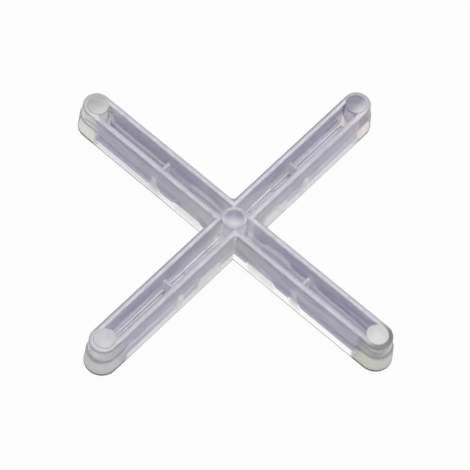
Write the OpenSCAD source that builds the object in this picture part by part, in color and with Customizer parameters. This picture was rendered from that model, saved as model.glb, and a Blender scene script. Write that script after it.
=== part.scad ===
// Cross-shaped tile spacer, moulded in one piece.
// Four drafted arms meet at a dished centre post. An arm has a deep channel in its top,
// a shallow one in its underside and a thin web between them.
// Each arm ends in a round post and holds one cross rib and one solid block.
// The origin is the centre of the base; +Z points up to the rims.

/* [Cross] */
// Distance from the centre to the middle of each arm's round end
arm_reach = 33; // [20:0.5:45]
// Width of the joint that the arms keep open, measured across the rims
joint_w = 5; // [4.5:0.1:8]
// Height from the base to the rims
height = 7.4; // [5.5:0.1:12]
// How far each flank spreads outwards from the rim to the base
flank_draft = 0.55; // [0.1:0.05:0.8]
// Radius of the corners between the arms, at the base
corner_r = 0.2; // [0.1:0.05:0.6]

/* [Channel] */
// Thickness of a channel wall at its rim
wall_t = 1.05; // [0.8:0.05:1.4]
// How much a channel wall thickens from the rim to the floor
wall_draft = 0.35; // [0.1:0.05:0.5]
// Thickness of the web between the top and the underside channel
web_t = 0.65; // [0.4:0.05:1]
// Size of the bevel where the channel walls meet the web
floor_bevel = 0.2; // [0.05:0.05:0.3]
// Depth of the underside channel
under_h = 1.4; // [0.8:0.05:2]
// How far each side of the underside channel spreads towards the base
under_draft = 0.1; // [0.05:0.05:0.2]

/* [Posts] */
// Diameter of the round post at the end of an arm
end_post_d = 4; // [3.6:0.1:4.4]
// How far the middle of an end post lies inside the middle of the arm's round end
post_inset = 0.25; // [0:0.05:0.4]
// Diameter of the centre post
centre_post_d = 4.4; // [4:0.1:5]
// How far the end posts stand above the rims
post_rise = 0.12; // [0.05:0.01:0.3]
// Diameter of the dish in the centre post, at its mouth
dish_d = 3.7; // [2:0.1:3.8]
// Depth of the dish
dish_depth = 0.55; // [0.2:0.05:0.9]

/* [Ribs] */
// Thickness of the cross rib halfway along an arm
rib_t = 0.6; // [0.4:0.1:1.2]
// How far the top of the rib lies below the rims
rib_drop = 2.5; // [1:0.1:3.5]
// Distance from the centre to the nearer end of the solid block
block_start = 5.6; // [4:0.1:6]
// Length of the solid block along the arm
block_len = 6.2; // [3:0.1:7]
// How far the solid block stands above the web
block_rise = 0.5; // [0.2:0.1:1]

/* [Edges] */
// Size of the bevel along the rims, the base and the post tops
edge_break = 0.15; // [0.05:0.05:0.25]
// Height of the parting line above the base
parting_h = 4.1; // [3:0.1:5]
// How far the lower mould half stands out beyond the upper one along the arms
parting_step = 0.06; // [0.02:0.01:0.1]
// How far the lower mould half of each round end reaches beyond the upper one
tip_step = 0.25; // [0.05:0.05:0.4]

/* [Hidden] */
$fn = 96;

// Half width of an arm at height z above the base, on the upper and on the lower mould half
function upper_half(z) = joint_w / 2 + flank_draft * (1 - z / height);
function lower_half(z) = upper_half(z) + parting_step;

// Half width of the top channel at height z above the base
floor_z = under_h + web_t;
channel_h = height - floor_z;
function channel_half(z) = joint_w / 2 - wall_t - wall_draft * (height - z) / channel_h;

lower_reach = arm_reach + tip_step;         // place of the lower half's round ends
corner_at = lower_half(0) + corner_r;       // place of a corner's centre along both arms
post_at = arm_reach - post_inset;           // place of the end posts along an arm
rib_at = arm_reach / 2;                     // place of the rib along an arm
rib_top = height - rib_drop;
block_top = floor_z + block_rise;
wall_grip = wall_t / 2;                     // how far ribs and blocks reach into the channel walls
past = 1;                                   // how far a cut runs past the face that it opens

// One drafted layer of the cross, from z_low to z_high
module cross_layer(reach, z_low, z_high, half_low, half_high) {
    layer_h = z_high - z_low;
    for (turn = [0, 90])
        rotate([90, 0, 90 + turn])
            linear_extrude(2 * reach, center = true)
                polygon([
                    [-half_low, z_low], [half_low, z_low],
                    [half_high, z_high], [-half_high, z_high]
                ]);
    for (turn = [0 : 90 : 270])
        rotate(turn) {
            translate([reach, 0, z_low])
                cylinder(h = layer_h, r1 = half_low, r2 = half_high);
            translate([0, 0, z_low])
                inner_corner(layer_h, corner_at - half_low, corner_at - half_high);
        }
}

// Filling between two arms, hollowed by the corner's own radius
module inner_corner(layer_h, r_low, r_high) {
    difference() {
        cube([corner_at, corner_at, layer_h]);
        translate([corner_at, corner_at, 0])
            cylinder(h = layer_h, r1 = r_low, r2 = r_high);
    }
}

// Outside of the moulding: two mould halves, each with a bevelled outer edge
module outer_body() {
    rim_z = height - edge_break;
    cross_layer(lower_reach, 0, edge_break, lower_half(0) - edge_break, lower_half(edge_break));
    cross_layer(lower_reach, edge_break, parting_h, lower_half(edge_break), lower_half(parting_h));
    cross_layer(arm_reach, parting_h, rim_z, upper_half(parting_h), upper_half(rim_z));
    cross_layer(arm_reach, rim_z, height, upper_half(rim_z), upper_half(height) - edge_break);
}

// Open channel in the top of both arms, narrowing to the web
module top_channels() {
    floor_half = channel_half(floor_z);
    bevel_z = floor_z + floor_bevel;
    rim_z = height - edge_break;
    mouth_half = channel_half(rim_z) + edge_break + past;
    right_side = [
        [floor_half - floor_bevel, floor_z],
        [channel_half(bevel_z), bevel_z],
        [channel_half(rim_z), rim_z],
        [mouth_half, height + past]
    ];
    left_side = [for (i = [len(right_side) - 1 : -1 : 0]) [-right_side[i].x, right_side[i].y]];
    for (turn = [0, 90])
        rotate([90, 0, 90 + turn])
            linear_extrude(2 * arm_reach, center = true)
                polygon(concat(right_side, left_side));
}

// Shallow channel in the underside of both arms, widening to the base
module under_channels() {
    roof_half = channel_half(floor_z);
    mouth_half = roof_half + under_draft * (under_h + past) / under_h;
    for (turn = [0, 90])
        rotate([90, 0, 90 + turn])
            linear_extrude(2 * arm_reach, center = true)
                polygon([
                    [-mouth_half, -past], [mouth_half, -past],
                    [roof_half, under_h], [-roof_half, under_h]
                ]);
}

// Round post with a bevelled top edge
module post(d, top) {
    cylinder(h = top - edge_break, d = d);
    translate([0, 0, top - edge_break])
        cylinder(h = edge_break, d1 = d, d2 = d - 2 * edge_break);
}

module end_posts() {
    for (turn = [0 : 90 : 270])
        rotate(turn)
            translate([post_at, 0, 0])
                post(end_post_d, height + post_rise);
}

// Cross rib halfway along each arm, let into both channel walls
module ribs() {
    rib_w = 2 * (channel_half(rib_top) + wall_grip);
    for (turn = [0 : 90 : 270])
        rotate(turn)
            translate([rib_at - rib_t / 2, -rib_w / 2, 0])
                cube([rib_t, rib_w, rib_top]);
}

// Solid block between the channel walls, from the base to just above the web, with round ends
module blocks() {
    end_r = channel_half(block_top) + wall_grip;
    for (turn = [0 : 90 : 270])
        rotate(turn) {
            for (at = [block_start + end_r, block_start + block_len - end_r])
                translate([at, 0, 0])
                    post(2 * end_r, block_top);
            translate([block_start + end_r, -end_r, 0])
                cube([block_len - 2 * end_r, 2 * end_r, block_top]);
        }
}

// Shallow round dish in the top of the centre post
module dish() {
    dish_r = (pow(dish_d / 2, 2) + pow(dish_depth, 2)) / (2 * dish_depth);
    translate([0, 0, height - dish_depth + dish_r])
        sphere(r = dish_r);
}

module cross_spacer() {
    color([0.80, 0.79, 0.85, 0.7])
        difference() {
            union() {
                difference() {
                    outer_body();
                    top_channels();
                    under_channels();
                }
                post(centre_post_d, height);
                end_posts();
                ribs();
                blocks();
            }
            dish();
        }
}

cross_spacer();
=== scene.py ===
# Tile spacer: one translucent moulding on a pale floor.
import math

import bmesh
import bpy
from mathutils import Matrix, Vector


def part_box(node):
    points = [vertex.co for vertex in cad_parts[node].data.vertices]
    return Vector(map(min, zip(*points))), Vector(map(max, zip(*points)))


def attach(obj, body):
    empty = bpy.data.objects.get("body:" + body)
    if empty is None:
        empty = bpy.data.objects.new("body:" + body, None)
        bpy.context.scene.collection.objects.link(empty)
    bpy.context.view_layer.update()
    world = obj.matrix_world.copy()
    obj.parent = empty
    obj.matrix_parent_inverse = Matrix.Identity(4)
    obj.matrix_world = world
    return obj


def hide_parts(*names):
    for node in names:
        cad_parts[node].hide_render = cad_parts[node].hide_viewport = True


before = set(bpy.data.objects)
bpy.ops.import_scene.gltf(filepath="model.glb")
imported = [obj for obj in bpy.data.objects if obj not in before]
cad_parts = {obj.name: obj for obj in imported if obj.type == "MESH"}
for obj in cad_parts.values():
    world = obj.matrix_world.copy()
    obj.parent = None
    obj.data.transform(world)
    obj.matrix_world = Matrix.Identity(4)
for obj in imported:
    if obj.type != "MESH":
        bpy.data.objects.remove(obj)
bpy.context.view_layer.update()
low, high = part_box("cross_spacer")
mm = 0.001
print("frame loaded, height", round((high.z - low.z) / mm, 2), "mm")


# Small helpers for node trees
def addNode(tree, kind, **values):
    node = tree.nodes.new(kind)
    for key, value in values.items():
        setattr(node, key, value)
    return node


def feed(tree, socket, value):
    if isinstance(value, bpy.types.NodeSocket):
        tree.links.new(value, socket)
    else:
        socket.default_value = value


def calc(tree, operation, *values):
    node = addNode(tree, "ShaderNodeMath", operation=operation)
    for socket, value in zip(node.inputs, values):
        feed(tree, socket, value)
    return node.outputs[0]


def fade(tree, value, start, end):
    node = addNode(tree, "ShaderNodeMapRange", interpolation_type="SMOOTHSTEP")
    feed(tree, node.inputs["Value"], value)
    feed(tree, node.inputs["From Min"], start)
    feed(tree, node.inputs["From Max"], end)
    return node.outputs["Result"]


def blend(tree, factor, first, second, kind="MIX"):
    node = addNode(tree, "ShaderNodeMix", data_type="RGBA", blend_type=kind)
    feed(tree, node.inputs["Factor"], factor)
    feed(tree, node.inputs["A"], first)
    feed(tree, node.inputs["B"], second)
    return node.outputs["Result"]


def noise(tree, vector, scale, detail, seed):
    node = addNode(tree, "ShaderNodeTexNoise", noise_dimensions="4D")
    feed(tree, node.inputs["Vector"], vector)
    feed(tree, node.inputs["Scale"], scale)
    feed(tree, node.inputs["Detail"], detail)
    feed(tree, node.inputs["W"], seed)
    return node.outputs["Fac"]


def shaderGroup(name, inputs, outputs):
    group = bpy.data.node_groups.new(name, "ShaderNodeTree")
    for label, kind, value in inputs:
        socket = group.interface.new_socket(name=label, in_out="INPUT", socket_type=kind)
        if value is not None:
            socket.default_value = value
    for label, kind in outputs:
        group.interface.new_socket(name=label, in_out="OUTPUT", socket_type=kind)
    return group, addNode(group, "NodeGroupInput"), addNode(group, "NodeGroupOutput")


def useGroup(tree, group, **values):
    node = addNode(tree, "ShaderNodeGroup", node_tree=group)
    for key, value in values.items():
        feed(tree, node.inputs[key], value)
    return node


# Moulding: one arm of the solid's own mesh, repeated four times round the centre
spacer = {
    "weld": 0.002 * mm,                  # joins points of neighbouring facets
    "flat": math.radians(1.0),           # faces within this angle become one
    "arms": 4,
    "edgeRound": 0.07 * mm,
    "edgeSteps": 3,
    "edgeAngle": math.radians(25),
    "flatWeight": 90,                    # large faces keep their own normals
}


def matchCuts(work, reach):
    cuts = [edge for edge in work.edges if edge.is_boundary]
    points = {vert for edge in cuts for vert in edge.verts}
    for place in [vert.co.copy() for vert in points]:
        twin = Vector((place.x, -place.y, place.z))
        if min((twin - vert.co).length for vert in points) < reach:
            continue
        for edge in cuts:                # the other cut gets the point that it lacks
            first, last = (vert.co for vert in edge.verts)
            share = (twin - first).dot(last - first) / (last - first).length_squared
            if 0 < share < 1 and (first.lerp(last, share) - twin).length < reach:
                bmesh.utils.edge_split(edge, edge.verts[0], share)
                break


def oneArm(settings):
    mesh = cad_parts["cross_spacer"].data.copy()
    work = bmesh.new()
    work.from_mesh(mesh)
    bmesh.ops.remove_doubles(work, verts=work.verts, dist=settings["weld"])
    bmesh.ops.dissolve_limit(work, angle_limit=settings["flat"], verts=work.verts, edges=work.edges)
    for side in (1, -1):                 # keeps the quarter around +X
        geometry = list(work.verts) + list(work.edges) + list(work.faces)
        bmesh.ops.bisect_plane(work, geom=geometry, dist=settings["weld"] / 4, plane_co=(0, 0, 0),
                               plane_no=(-1, side, 0), clear_outer=True)
    matchCuts(work, settings["weld"])
    work.to_mesh(mesh)
    print("one arm:", len(work.verts), "points,", len(work.faces), "faces")
    work.free()
    return mesh


def armsTree(settings):
    tree = bpy.data.node_groups.new("armsRoundCentre", "GeometryNodeTree")
    tree.interface.new_socket(name="Arm", in_out="INPUT", socket_type="NodeSocketGeometry")
    count = tree.interface.new_socket(name="Arms", in_out="INPUT", socket_type="NodeSocketInt")
    weld = tree.interface.new_socket(name="Weld", in_out="INPUT", socket_type="NodeSocketFloat")
    plastic = tree.interface.new_socket(name="Plastic", in_out="INPUT", socket_type="NodeSocketMaterial")
    tree.interface.new_socket(name="Cross", in_out="OUTPUT", socket_type="NodeSocketGeometry")
    start = addNode(tree, "NodeGroupInput")
    end = addNode(tree, "NodeGroupOutput")
    points = addNode(tree, "GeometryNodeMeshLine")
    points.inputs["Offset"].default_value = (0, 0, 0)
    index = addNode(tree, "GeometryNodeInputIndex")
    step = addNode(tree, "ShaderNodeMath", operation="DIVIDE")
    step.inputs[0].default_value = math.tau
    turn = addNode(tree, "ShaderNodeMath", operation="MULTIPLY")
    rotation = addNode(tree, "ShaderNodeCombineXYZ")
    copies = addNode(tree, "GeometryNodeInstanceOnPoints")
    real = addNode(tree, "GeometryNodeRealizeInstances")
    joined = addNode(tree, "GeometryNodeMergeByDistance")
    finish = addNode(tree, "GeometryNodeSetMaterial")
    for source, target in (
        (start.outputs["Arms"], points.inputs["Count"]),
        (start.outputs["Arms"], step.inputs[1]),
        (index.outputs[0], turn.inputs[0]),
        (step.outputs[0], turn.inputs[1]),
        (turn.outputs[0], rotation.inputs["Z"]),
        (points.outputs["Mesh"], copies.inputs["Points"]),
        (start.outputs["Arm"], copies.inputs["Instance"]),
        (rotation.outputs[0], copies.inputs["Rotation"]),
        (copies.outputs["Instances"], real.inputs["Geometry"]),
        (real.outputs["Geometry"], joined.inputs["Geometry"]),
        (start.outputs["Weld"], joined.inputs["Distance"]),
        (joined.outputs["Geometry"], finish.inputs["Geometry"]),
        (start.outputs["Plastic"], finish.inputs["Material"]),
        (finish.outputs["Geometry"], end.inputs["Cross"]),
    ):
        tree.links.new(source, target)
    return tree, {count.identifier: settings["arms"], weld.identifier: settings["weld"]}, plastic.identifier


def mouldedCross(settings, material):
    raw = bpy.data.objects.new("rawArm", oneArm(settings))
    bpy.context.scene.collection.objects.link(raw)
    tree, values, plasticInput = armsTree(settings)
    arms = raw.modifiers.new("arms", "NODES")
    arms.node_group = tree
    for identifier, value in values.items():
        arms[identifier] = value
    arms[plasticInput] = material
    rounding = raw.modifiers.new("edgeRound", "BEVEL")
    rounding.width = settings["edgeRound"]
    rounding.segments = settings["edgeSteps"]
    rounding.limit_method = "ANGLE"
    rounding.angle_limit = settings["edgeAngle"]
    rounding.harden_normals = True
    flat = raw.modifiers.new("flatFaces", "WEIGHTED_NORMAL")
    flat.weight = settings["flatWeight"]
    bpy.context.view_layer.update()
    graph = bpy.context.evaluated_depsgraph_get()
    mesh = bpy.data.meshes.new_from_object(raw.evaluated_get(graph))
    bpy.data.objects.remove(raw)
    work = bmesh.new()
    work.from_mesh(mesh)
    bmesh.ops.recalc_face_normals(work, faces=work.faces)
    openEdges = sum(1 for edge in work.edges if len(edge.link_faces) != 2)
    print("cross:", len(work.verts), "points,", len(work.faces), "faces,", openEdges, "open edges")
    work.to_mesh(mesh)
    work.free()
    mesh.name = "mouldedSpacer"
    for face in mesh.polygons:
        face.use_smooth = True
    piece = bpy.data.objects.new("mouldedSpacer", mesh)
    bpy.context.scene.collection.objects.link(piece)
    return piece


# Plastic: where the moulding is solid, thin, hollow or resting on the table, in mm
zones = {
    "Foot Top": 2.1,
    "Foot Fade": 0.3,
    "Block Rise": 1.25,
    "Rib Rise": 2.6,
    "End Rise": 2.0,
    "Block Start": 5.6,
    "Block End": 11.8,
    "Rib Place": 16.5,
    "End Start": 30.6,
    "Arm Reach": 33.0,
    "Parting": 4.2,
    "Channel Half": 1.55,
    "Rim Height": 7.1,
    "Pad Place": 32.75,
    "Pad Radius": 1.95,
    "Shift X": 0.6,                      # how far the inside shows beside its place
    "Shift Y": -0.8,
    "Lean": 0.2,
}


def zoneGroup(settings):
    inputs = [("Vector", "NodeSocketVector", None)]
    inputs += [(label, "NodeSocketFloat", value) for label, value in settings.items()]
    names = ("Along", "Across", "Height", "Foot", "Block", "Rib", "End", "Channel", "Web", "Corner", "Rim",
             "Rim Edge", "Base Line", "Parting Line", "Upper End", "Dish", "Wall", "Dish Light", "Pad",
             "Pad Ring", "Outline", "Rib Face Light", "Fillet Highlight", "Milky And Backlit", "Low Wall Shade", "Far Edge Shade", "Rim Light",
             "Arm X", "Inner", "Under Rim Glint", "Pit")
    group, start, end = shaderGroup("spacerZones", inputs, [(name, "NodeSocketFloat") for name in names])
    scaled = addNode(group, "ShaderNodeVectorMath", operation="SCALE")
    feed(group, scaled.inputs[0], start.outputs["Vector"])
    feed(group, scaled.inputs["Scale"], 1 / mm)
    split = addNode(group, "ShaderNodeSeparateXYZ")
    feed(group, split.inputs[0], scaled.outputs[0])
    acrossX = calc(group, "ABSOLUTE", split.outputs["X"])
    acrossY = calc(group, "ABSOLUTE", split.outputs["Y"])
    along = calc(group, "MAXIMUM", acrossX, acrossY)
    across = calc(group, "MINIMUM", acrossX, acrossY)
    height = split.outputs["Z"]
    fromCentre = calc(group, "SQRT", calc(group, "ADD", calc(group, "MULTIPLY", acrossX, acrossX),
                                          calc(group, "MULTIPLY", acrossY, acrossY)))
    armX = fade(group, calc(group, "SUBTRACT", acrossX, acrossY), -0.01, 0.01)
    signed = calc(group, "ADD", calc(group, "MULTIPLY", armX, split.outputs["Y"]),
                  calc(group, "MULTIPLY", calc(group, "SUBTRACT", armX, 1.0), split.outputs["X"]))
    beyond = calc(group, "MAXIMUM", calc(group, "SUBTRACT", along, start.outputs["Arm Reach"]), 0.0)
    squares = calc(group, "ADD", calc(group, "MULTIPLY", beyond, beyond), calc(group, "MULTIPLY", across, across))
    across = calc(group, "SQRT", squares)
    normal = addNode(group, "ShaderNodeSeparateXYZ")
    feed(group, normal.inputs[0], addNode(group, "ShaderNodeNewGeometry").outputs["Normal"])
    upright = fade(group, calc(group, "ABSOLUTE", normal.outputs["Z"]), 0.9, 0.6)

    def offset(label, amount):
        return calc(group, "ADD", start.outputs[label], amount)

    lean = calc(group, "MULTIPLY", calc(group, "SUBTRACT", height, 1.6), start.outputs["Lean"])
    seenX = calc(group, "ADD", calc(group, "SUBTRACT", split.outputs["X"], start.outputs["Shift X"]), lean)
    seenX = calc(group, "ABSOLUTE", seenX)
    seenY = calc(group, "SUBTRACT", calc(group, "SUBTRACT", split.outputs["Y"], start.outputs["Shift Y"]), lean)
    seenY = calc(group, "ABSOLUTE", seenY)
    seen = calc(group, "MAXIMUM", seenX, seenY)
    blockIn = fade(group, seen, offset("Block Start", -0.5), offset("Block Start", 0.7))
    blockOut = fade(group, seen, offset("Block End", 0.5), offset("Block End", -0.7))
    block = calc(group, "MULTIPLY", blockIn, blockOut)
    ribGap = calc(group, "ABSOLUTE", calc(group, "SUBTRACT", seen, start.outputs["Rib Place"]))
    rib = fade(group, ribGap, 1.5, 0.3)
    ribFaceLight = calc(group, "ABSOLUTE", calc(group, "SUBTRACT", along, start.outputs["Rib Place"]))
    ribFaceLight = calc(group, "MULTIPLY", fade(group, ribFaceLight, 0.45, 0.35), fade(group, across, 1.3, 1.15))
    endPart = fade(group, along, offset("End Start", -0.3), offset("End Start", 0.5))
    footTop = start.outputs["Foot Top"]
    for part, label in ((block, "Block Rise"), (rib, "Rib Rise"), (endPart, "End Rise")):
        footTop = calc(group, "ADD", footTop, calc(group, "MULTIPLY", part, start.outputs[label]))
    soft = calc(group, "ADD", start.outputs["Foot Fade"], calc(group, "MULTIPLY", block, 0.25))
    soft = calc(group, "ADD", soft, calc(group, "MULTIPLY", calc(group, "SUBTRACT", 1.0, armX), 0.12))
    footHigh = calc(group, "ADD", footTop, soft)
    footLow = calc(group, "SUBTRACT", footTop, soft)
    outside = fade(group, across, start.outputs["Channel Half"], offset("Channel Half", 0.2))
    partingGap = calc(group, "ABSOLUTE", calc(group, "SUBTRACT", height, start.outputs["Parting"]))
    parting = calc(group, "MULTIPLY", fade(group, partingGap, 0.55, 0.1), calc(group, "MULTIPLY", outside, endPart))
    outside = calc(group, "MAXIMUM", outside, endPart)
    foot = calc(group, "MULTIPLY", fade(group, height, footHigh, footLow), outside)
    # where the block, rib and ends are solid inside the foot: a milkier tone of the plastic with painted light from
    # below
    milkyAndBacklit = calc(group, "MULTIPLY", calc(group, "MAXIMUM", block, rib), fade(group, height, 0.4, 1.2))
    milkyAndBacklit = calc(group, "MULTIPLY", calc(group, "MAXIMUM", milkyAndBacklit, endPart), foot)
    inside = fade(group, across, offset("Channel Half", 0.1), start.outputs["Channel Half"])
    under = fade(group, height, offset("Rim Height", 0.1), offset("Rim Height", -0.1))
    channel = calc(group, "MULTIPLY", inside, under)
    facing = calc(group, "MULTIPLY", fade(group, normal.outputs["Z"], 0.3, 0.6), fade(group, height, 3.6, 3.0))
    web = calc(group, "MULTIPLY", channel, facing)
    wall = calc(group, "MULTIPLY", channel, calc(group, "MULTIPLY", upright, fade(group, across, 0.95, 1.1)))
    inner = calc(group, "MULTIPLY", channel, calc(group, "MULTIPLY", upright, fade(group, across, 1.1, 0.95)))
    lowWallShade = calc(group, "MULTIPLY", calc(group, "MULTIPLY", channel, armX), fade(group, height, 3.7, 2.8))
    cornerAcross = calc(group, "MULTIPLY", fade(group, across, 0.35, 0.55), fade(group, across, 1.1, 1.0))
    corner = calc(group, "MULTIPLY", web, cornerAcross)
    corner = calc(group, "MULTIPLY", corner, calc(group, "SUBTRACT", 1.0, armX))
    rim = fade(group, height, offset("Rim Height", 0), offset("Rim Height", 0.2))
    underRimGlint = calc(group, "MULTIPLY", channel, fade(group, height, 6.2, 7.1))
    pit = calc(group, "MULTIPLY", fade(group, fromCentre, 4.5, 3.0), fade(group, height, 6.6, 5.0))
    pit = calc(group, "MULTIPLY", channel, pit)
    padX = calc(group, "SUBTRACT", along, start.outputs["Pad Place"])
    padY = calc(group, "MINIMUM", acrossX, acrossY)
    padGap = calc(group, "SQRT", calc(group, "ADD", calc(group, "MULTIPLY", padX, padX),
                                      calc(group, "MULTIPLY", padY, padY)))
    top = fade(group, height, 6.9, 7.1)
    pad = calc(group, "MULTIPLY", top, fade(group, padGap, offset("Pad Radius", 0.08), offset("Pad Radius", -0.02)))
    padRing = calc(group, "MULTIPLY", fade(group, padGap, offset("Pad Radius", -0.05), offset("Pad Radius", 0.05)),
                   fade(group, padGap, offset("Pad Radius", 1.1), offset("Pad Radius", 0.5)))
    padRing = calc(group, "MULTIPLY", padRing, top)
    rimEdge = calc(group, "MULTIPLY", fade(group, height, 6.6, 7.1), fade(group, across, 2.2, 2.4))
    outwards = calc(group, "ADD", signed, calc(group, "MULTIPLY", calc(group, "SUBTRACT", 1.0, armX), 0.18))
    farEdgeShade = calc(group, "MULTIPLY", fade(group, height, 6.3, 6.9), fade(group, outwards, 2.2, 2.4))
    # painted light across each rim: lighter toward its near side
    rimNear = fade(group, signed, -1.6, -2.2)
    rimFar = calc(group, "MULTIPLY", fade(group, outwards, 2.4, 1.9), fade(group, signed, 0.0, 0.5))
    rimLight = calc(group, "MAXIMUM", rimNear, rimFar)
    upperEnd = calc(group, "MULTIPLY", endPart, fade(group, height, 4.1, 4.4))
    upperEnd = calc(group, "MULTIPLY", upperEnd, upright)
    dish = calc(group, "MULTIPLY", fade(group, fromCentre, 1.75, 1.45), fade(group, height, 6.0, 6.5))
    baseLine = calc(group, "MULTIPLY", fade(group, height, 0.5, 0.35), upright)
    # fixed plan directions that the painted light on the dish and the painted shade on the ends' flanks follow
    towards = calc(group, "SUBTRACT", calc(group, "MULTIPLY", split.outputs["X"], 0.565),
                   calc(group, "MULTIPLY", split.outputs["Y"], 0.825))
    sideways = calc(group, "ADD", calc(group, "MULTIPLY", normal.outputs["X"], 0.825),
                    calc(group, "MULTIPLY", normal.outputs["Y"], 0.565))
    sideways = fade(group, calc(group, "ABSOLUTE", sideways), 0.94, 0.995)
    outline = calc(group, "MULTIPLY", calc(group, "MULTIPLY", endPart, upright), sideways)
    endBase = calc(group, "MULTIPLY", calc(group, "MULTIPLY", endPart, upright), fade(group, height, 0.8, 0.55))
    outline = calc(group, "MAXIMUM", outline, endBase)
    filletHighlight = fade(group, calc(group, "SUBTRACT", along, across), 0.7, 0.4)
    filletHighlight = calc(group, "MULTIPLY", filletHighlight, fade(group, across, 2.3, 2.45))
    dishShade = calc(group, "MULTIPLY", dish, fade(group, towards, -0.9, 1.1))
    values = (along, across, height, foot, block, rib, endPart, channel, web, corner, rim, rimEdge, baseLine,
              parting, upperEnd, dish, wall, dishShade, pad, padRing, outline, ribFaceLight, filletHighlight, milkyAndBacklit,
              lowWallShade, farEdgeShade, rimLight, armX, inner, underRimGlint, pit)
    for name, value in zip(names, values):
        feed(group, end.inputs[name], value)
    return group


def mouldedTextureGroup():
    inputs = [("Vector", "NodeSocketVector", None), ("Seed", "NodeSocketFloat", 3.0)]
    outputs = [("Cloud", "NodeSocketFloat"), ("Flow", "NodeSocketFloat"), ("Grain", "NodeSocketFloat")]
    group, start, end = shaderGroup("mouldedTexture", inputs, outputs)
    vector, seed = start.outputs["Vector"], start.outputs["Seed"]
    feed(group, end.inputs["Cloud"], noise(group, vector, 220.0, 3.0, seed))
    feed(group, end.inputs["Flow"], noise(group, vector, 700.0, 2.0, seed))
    feed(group, end.inputs["Grain"], noise(group, vector, 3200.0, 2.0, seed))
    return group


plastic = {
    "body": (0.88, 0.85, 0.97, 1),
    "channel": (0.88, 0.85, 0.97, 1),
    "web": (0.58, 0.57, 0.66, 1),
    "lowWallShade": (0.50, 0.48, 0.59, 1),
    "corner": (0.97, 0.96, 0.97, 1),
    "milkyAndBacklit": (0.90, 0.90, 0.84, 1),
    "rim": (0.90, 0.89, 0.93, 1),
    "rimShade": (0.78, 0.77, 0.85, 1),
    "rimFarShade": (0.67, 0.65, 0.74, 1),
    "farEdgeShade": (0.34, 0.33, 0.38, 1),
    "dish": (0.42, 0.40, 0.52, 1),
    "dishLight": (0.86, 0.86, 0.86, 1),
    "tipShade": (0.55, 0.55, 0.54, 1),
    "outline": (0.06, 0.06, 0.06, 1),
    "ribFaceLight": (0.72, 0.71, 0.79, 1),
    "filletHighlight": (1.0, 1.0, 1.0, 1),
    "nearCentreLight": (0.97, 0.99, 0.96, 1),
    "padLight": (0.90, 0.89, 0.93, 1),
    "glow": (0.17, 0.17, 0.165, 1),
    "line": (0.34, 0.35, 0.33, 1),
    "parting": (0.22, 0.21, 0.22, 1),
    "ior": 1.46,
    "transmission": 0.42,
    "clearThin": 0.97,
    "milkyLoss": 0.4,
    "dullLoss": 0.3,
    "leftLoss": 0.2,
    "cornerClear": 0.75,
    "ends": {                            # arm: how clear, lower tier, upper tier, pad, ring round it, side light; the tier, pad and ring tints are painted light and shade, a lit or shaded copy of the plastic at each end
        ("X", 1): (0.28, (0.62, 0.64, 0.50, 1), (0.62, 0.62, 0.64, 1), (0.82, 0.82, 0.83, 1), (0.15, 0.15, 0.17, 1), 0.0),
        ("X", -1): (0.53, (0.68, 0.67, 0.58, 1), (0.98, 0.98, 0.95, 1), (0.49, 0.48, 0.48, 1), (0.62, 0.62, 0.62, 1), 0.4),
        ("Y", 1): (0.56, (0.86, 0.67, 0.62, 1), (0.46, 0.43, 0.57, 1), (0.22, 0.20, 0.29, 1), (0.64, 0.62, 0.72, 1), 0.65),
        ("Y", -1): (0.22, (0.54, 0.54, 0.55, 1), (0.93, 0.93, 0.95, 1), (0.70, 0.70, 0.72, 1), (0.70, 0.70, 0.72, 1), 0.1),
    },
}


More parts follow.
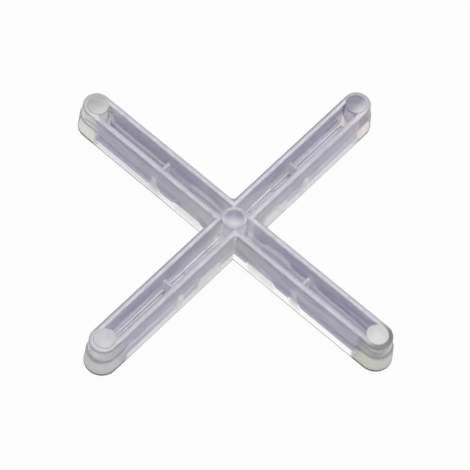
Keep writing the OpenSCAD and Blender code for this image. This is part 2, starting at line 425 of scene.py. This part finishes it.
def naturalPlastic(settings, zoneSettings):
    material = bpy.data.materials.new("naturalPlastic")
    material.use_nodes = True
    tree = material.node_tree
    tree.nodes.clear()
    coords = addNode(tree, "ShaderNodeTexCoord").outputs["Object"]
    zone = useGroup(tree, zoneGroup(zoneSettings), Vector=coords).outputs
    surface = useGroup(tree, mouldedTextureGroup(), Vector=coords).outputs
    color = blend(tree, zone["Channel"], settings["body"], settings["channel"])
    # painted light: the walls near the centre lightened toward white, less so inside the grooves
    nearCentreLight = calc(tree, "MULTIPLY", fade(tree, zone["Along"], 12.0, 4.0), 0.8)
    nearCentreLight = calc(tree, "MULTIPLY", nearCentreLight, calc(tree, "SUBTRACT", 1.0, calc(tree, "MULTIPLY", zone["Channel"], 0.55)))
    color = blend(tree, nearCentreLight, color, settings["nearCentreLight"])
    # painted shade: the groove floor darker, down in the hollow
    color = blend(tree, zone["Web"], color, settings["web"])
    # painted highlight: a bright line where the groove floor meets its walls
    color = blend(tree, zone["Corner"], color, settings["corner"])
    # painted shade: the lower groove walls of the X arms darker
    color = blend(tree, zone["Low Wall Shade"], color, settings["lowWallShade"])
    # painted highlight: the top of the groove walls fades toward the rim tone
    color = blend(tree, calc(tree, "MULTIPLY", zone["Under Rim Glint"], 0.8), color, settings["rim"])
    # painted light: the groove near the centre lightened toward white
    color = blend(tree, calc(tree, "MULTIPLY", zone["Pit"], 0.6), color, settings["corner"])
    # painted light: cream-white where light from below shows through the solid block, rib and ends, over their milkier
    # tone
    milkyAndBacklit = zone["Milky And Backlit"]
    color = blend(tree, milkyAndBacklit, color, settings["milkyAndBacklit"])
    split = addNode(tree, "ShaderNodeSeparateXYZ")
    feed(tree, split.inputs[0], coords)
    # painted light: the rib faces and the ends of the blocks inside the groove made lighter
    color = blend(tree, calc(tree, "MULTIPLY", zone["Rib Face Light"], zone["Channel"]), color, settings["ribFaceLight"])
    color = blend(tree, zone["Inner"], color, settings["ribFaceLight"])
    # painted highlight: white along the inner corners where the arms meet
    color = blend(tree, zone["Fillet Highlight"], color, settings["filletHighlight"])
    grained = blend(tree, fade(tree, surface["Flow"], 0.4, 0.6), settings["rim"], settings["rimShade"])
    # painted shade: the far side of each rim darker, the near side lighter
    grained = blend(tree, zone["Rim Light"], settings["rimFarShade"], grained)
    color = blend(tree, zone["Rim"], color, grained)
    # painted shade: a dark band along the top of the outer walls on the far side
    color = blend(tree, calc(tree, "MULTIPLY", zone["Far Edge Shade"], 0.85), color, settings["farEdgeShade"])
    # painted light and shade at each end: the lower tier darker toward the tip, the pad lighter on one side, a dark or
    # light ring round the pad
    endLoss = 0.0
    for (axis, sign), tints in settings["ends"].items():
        place = calc(tree, "MULTIPLY", split.outputs[axis], sign / mm)
        near = fade(tree, place, 28.5, 31.5)
        share = calc(tree, "MULTIPLY", fade(tree, place, 29.8, 31.0), settings["clearThin"] - tints[0])
        endLoss = calc(tree, "ADD", endLoss, share)
        shaded = blend(tree, fade(tree, place, 33.5, 36.5), tints[1], settings["tipShade"])
        sideX = calc(tree, "MULTIPLY", split.outputs["X"], 1 / mm)
        if axis == "X":
            sideX = calc(tree, "SUBTRACT", sideX, sign * 32.75)
        lighter = calc(tree, "MULTIPLY", fade(tree, sideX, -0.3, 1.9), tints[5])
        pad = blend(tree, lighter, tints[3], settings["padLight"])
        for part, tint in zip(("Foot", "Upper End", "Pad"), (shaded, tints[2], pad)):
            color = blend(tree, calc(tree, "MULTIPLY", near, zone[part]), color, tint)
        tipward = fade(tree, place, 31.5, 34.2)
        color = blend(tree, calc(tree, "MULTIPLY", tipward, zone["Pad Ring"]), color, tints[4])
    # painted shade: dark edges on the flanks of the ends and a dark band at their foot
    color = blend(tree, calc(tree, "MULTIPLY", zone["Outline"], 0.92), color, settings["outline"])
    # painted shade and light in the dish: dark purple, lighter on the side toward the fixed lit direction
    color = blend(tree, zone["Dish"], color, settings["dish"])
    color = blend(tree, zone["Dish Light"], color, settings["dishLight"])
    # painted shade: a dark line along the outer top edge of the rims, stronger at the ends
    rimLine = calc(tree, "ADD", calc(tree, "MULTIPLY", zone["End"], 0.3), 0.2)
    color = blend(tree, calc(tree, "MULTIPLY", zone["Rim Edge"], rimLine), color, settings["line"])
    # painted shadow: a dark line along the foot where it meets the floor
    baseLine = calc(tree, "MULTIPLY", zone["Base Line"], calc(tree, "SUBTRACT", 0.95, zone["End"]))
    color = blend(tree, calc(tree, "MAXIMUM", baseLine, 0.0), color, settings["line"])
    # painted shade: darker along the parting line round the ends, the shade of its step
    color = blend(tree, calc(tree, "MULTIPLY", zone["Parting Line"], 0.8), color, settings["parting"])
    cloudy = fade(tree, surface["Cloud"], 0.3, 0.7)
    color = blend(tree, calc(tree, "MULTIPLY", cloudy, 0.10), color, (0.6, 0.6, 0.62, 1))
    shader = addNode(tree, "ShaderNodeBsdfPrincipled")
    shader.inputs["IOR"].default_value = settings["ior"]
    shader.inputs["Transmission Weight"].default_value = settings["transmission"]
    feed(tree, shader.inputs["Base Color"], color)
    # painted light: a faint glow on the end feet, the solid patches, the centre of the grooves and the inner faces,
    # less on the dark edges
    lower = calc(tree, "MULTIPLY", calc(tree, "MULTIPLY", zone["Foot"], zone["End"]), 0.75)
    lit = calc(tree, "MAXIMUM", calc(tree, "MULTIPLY", zone["Pit"], 0.5), lower)
    lit = calc(tree, "MAXIMUM", lit, calc(tree, "MULTIPLY", milkyAndBacklit, 0.7))
    lit = calc(tree, "MAXIMUM", lit, calc(tree, "MULTIPLY", zone["Inner"], 0.45))
    lit = calc(tree, "MULTIPLY", lit, calc(tree, "SUBTRACT", 1.0, calc(tree, "MULTIPLY", zone["Outline"], 0.8)))
    feed(tree, shader.inputs["Emission Color"], blend(tree, lit, (0, 0, 0, 1), settings["glow"]))
    shader.inputs["Emission Strength"].default_value = 1.0
    roughness = calc(tree, "ADD", calc(tree, "MULTIPLY", surface["Flow"], 0.10), 0.20)
    roughness = calc(tree, "ADD", roughness, calc(tree, "MULTIPLY", zone["Rim"], 0.12))
    roughness = calc(tree, "ADD", roughness, calc(tree, "MULTIPLY", milkyAndBacklit, 0.25))
    roughness = calc(tree, "ADD", roughness, calc(tree, "MULTIPLY", zone["Dish"], 0.4))
    feed(tree, shader.inputs["Roughness"], roughness)
    clear = calc(tree, "SUBTRACT", settings["clearThin"], calc(tree, "MULTIPLY", zone["Base Line"], 0.82))
    leftFoot = fade(tree, calc(tree, "MULTIPLY", split.outputs["X"], 1 / mm), -9.0, -18.0)
    leftFoot = calc(tree, "MULTIPLY", leftFoot, calc(tree, "SUBTRACT", 1.0, zone["End"]))
    clear = calc(tree, "SUBTRACT", clear, calc(tree, "MULTIPLY", leftFoot, settings["leftLoss"]))
    solid = calc(tree, "MULTIPLY", milkyAndBacklit, calc(tree, "SUBTRACT", 1.0, zone["End"]))
    clear = calc(tree, "SUBTRACT", clear, calc(tree, "MULTIPLY", solid, settings["milkyLoss"]))
    ribTop = calc(tree, "MULTIPLY", zone["Rib"], fade(tree, zone["Height"], 1.5, 2.4))
    clear = calc(tree, "SUBTRACT", clear, calc(tree, "MULTIPLY", ribTop, settings["milkyLoss"]))
    clear = calc(tree, "SUBTRACT", clear, endLoss)
    clear = calc(tree, "SUBTRACT", clear, calc(tree, "MULTIPLY", zone["Outline"], 0.8))
    dull = calc(tree, "SUBTRACT", 1.0, calc(tree, "MAXIMUM", zone["Arm X"], zone["End"]))
    dull = calc(tree, "MULTIPLY", dull, settings["dullLoss"])
    clear = calc(tree, "SUBTRACT", clear, dull)
    clear = calc(tree, "MULTIPLY", calc(tree, "MAXIMUM", clear, 0.0), zone["Foot"])
    clear = calc(tree, "MAXIMUM", clear, calc(tree, "MULTIPLY", zone["Corner"], settings["cornerClear"]))
    feed(tree, shader.inputs["Alpha"], calc(tree, "SUBTRACT", 1.0, clear))
    bump = addNode(tree, "ShaderNodeBump")
    bump.inputs["Strength"].default_value = 0.08
    bump.inputs["Distance"].default_value = 0.01 * mm
    feed(tree, bump.inputs["Height"], calc(tree, "ADD", surface["Flow"], calc(tree, "MULTIPLY", surface["Grain"], 0.2)))
    feed(tree, shader.inputs["Normal"], bump.outputs["Normal"])
    out = addNode(tree, "ShaderNodeOutputMaterial")
    feed(tree, out.inputs["Surface"], shader.outputs["BSDF"])
    return material


piece = mouldedCross(spacer, naturalPlastic(plastic, zones))
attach(piece, "root")
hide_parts("cross_spacer")
print("moulding dressed")


# Floor: white to the eye, a pale grey for the light that falls on it
floorLook = {
    "half": 1.0,
    "gap": 0.02 * mm,
    "lit": (0.74, 0.74, 0.75, 1),
    "seen": (0.8, 0.8, 0.8, 1),
    "white": 0.96,
    "mirrored": 0.6,
}


def paleFloor(settings):
    size = settings["half"]
    mesh = bpy.data.meshes.new("floor")
    mesh.from_pydata([(-size, -size, 0), (size, -size, 0), (size, size, 0), (-size, size, 0)], [], [(0, 1, 2, 3)])
    floor = bpy.data.objects.new("floor", mesh)
    bpy.context.scene.collection.objects.link(floor)
    floor.location.z = low.z - settings["gap"]
    material = bpy.data.materials.new("paleFloor")
    material.use_nodes = True
    tree = material.node_tree
    tree.nodes.clear()
    lit = addNode(tree, "ShaderNodeBsdfDiffuse")
    feed(tree, lit.inputs["Color"], settings["lit"])
    seen = addNode(tree, "ShaderNodeBsdfDiffuse")
    feed(tree, seen.inputs["Color"], settings["seen"])
    glow = addNode(tree, "ShaderNodeEmission")
    seenMix = addNode(tree, "ShaderNodeMixShader")
    feed(tree, seenMix.inputs["Fac"], settings["white"])
    feed(tree, seenMix.inputs[1], seen.outputs[0])
    feed(tree, seenMix.inputs[2], glow.outputs[0])
    path = addNode(tree, "ShaderNodeLightPath").outputs
    direct = calc(tree, "MAXIMUM", path["Is Camera Ray"], path["Is Transmission Ray"])
    mirrored = calc(tree, "MULTIPLY", path["Is Glossy Ray"], settings["mirrored"])
    mix = addNode(tree, "ShaderNodeMixShader")
    feed(tree, mix.inputs["Fac"], calc(tree, "MAXIMUM", direct, mirrored))
    feed(tree, mix.inputs[1], lit.outputs[0])
    feed(tree, mix.inputs[2], seenMix.outputs[0])
    out = addNode(tree, "ShaderNodeOutputMaterial")
    feed(tree, out.inputs["Surface"], mix.outputs[0])
    mesh.materials.append(material)


paleFloor(floorLook)


# Camera: the photo's angle, with the centre post at its place in the picture
view = {
    "azimuth": math.radians(34.4),
    "elevation": math.radians(59.9),
    "roll": math.radians(8.7),
    "distance": 402.6 * mm,
    "focalPixels": 2316.8,
    "framePixels": 470,
    "centrePixel": (234.2, 217.0),
    "sensor": 36.0,
    "rimHeight": 7.4 * mm,
}


def photoCamera(settings):
    az, el, roll = settings["azimuth"], settings["elevation"], settings["roll"]
    back = Vector((math.sin(az) * math.cos(el), -math.cos(az) * math.cos(el), math.sin(el)))
    right = Vector((0, 0, 1)).cross(back).normalized()
    up = back.cross(right)
    rolledRight = math.cos(roll) * right + math.sin(roll) * up
    rolledUp = -math.sin(roll) * right + math.cos(roll) * up
    target = Vector((0, 0, low.z + settings["rimHeight"]))
    position = target + back * settings["distance"]
    middle = (settings["framePixels"] - 1) / 2
    perPixel = settings["distance"] / settings["focalPixels"]
    dx = (middle - settings["centrePixel"][0]) * perPixel
    dy = (middle - settings["centrePixel"][1]) * perPixel
    aim = target + rolledRight * dx - rolledUp * dy
    away = (position - aim).normalized()
    across = rolledUp.cross(away).normalized()
    upright = away.cross(across)
    data = bpy.data.cameras.new("photoCamera")
    data.sensor_width = settings["sensor"]
    data.lens = settings["focalPixels"] / settings["framePixels"] * settings["sensor"]
    data.clip_start = 0.01
    camera = bpy.data.objects.new("photoCamera", data)
    bpy.context.scene.collection.objects.link(camera)
    camera.matrix_world = Matrix((
        (across.x, upright.x, away.x, position.x),
        (across.y, upright.y, away.y, position.y),
        (across.z, upright.z, away.z, position.z),
        (0, 0, 0, 1)))
    bpy.context.scene.camera = camera


photoCamera(view)


# Light: a sky that darkens to violet near the horizon and one soft lamp
studio = {
    "zenith": (0.62, 0.62, 0.64, 1),
    "horizon": (0.20, 0.18, 0.28, 1),
    "clearAbove": 0.75,
    "strength": 0.7,
    "lampSize": 0.5,
    "lampPower": 2.2,
    "lampPlace": (-0.1, 0.15, 0.6),
}


def studioLight(settings):
    world = bpy.data.worlds.new("studio")
    bpy.context.scene.world = world
    world.use_nodes = True
    tree = world.node_tree
    background = tree.nodes["Background"]
    split = addNode(tree, "ShaderNodeSeparateXYZ")
    feed(tree, split.inputs[0], addNode(tree, "ShaderNodeTexCoord").outputs["Generated"])
    rise = fade(tree, split.outputs["Z"], 0.0, settings["clearAbove"])
    feed(tree, background.inputs["Color"], blend(tree, rise, settings["horizon"], settings["zenith"]))
    background.inputs["Strength"].default_value = settings["strength"]
    lamp = bpy.data.lights.new("softBox", "AREA")
    lamp.shape = "DISK"
    lamp.size = settings["lampSize"]
    lamp.energy = settings["lampPower"]
    lampObject = bpy.data.objects.new("softBox", lamp)
    bpy.context.scene.collection.objects.link(lampObject)
    lampObject.location = settings["lampPlace"]
    lampObject.rotation_euler = (-lampObject.location).to_track_quat("-Z", "Y").to_euler()
    bpy.context.scene.view_settings.view_transform = "Standard"


studioLight(studio)
print("camera and light set")
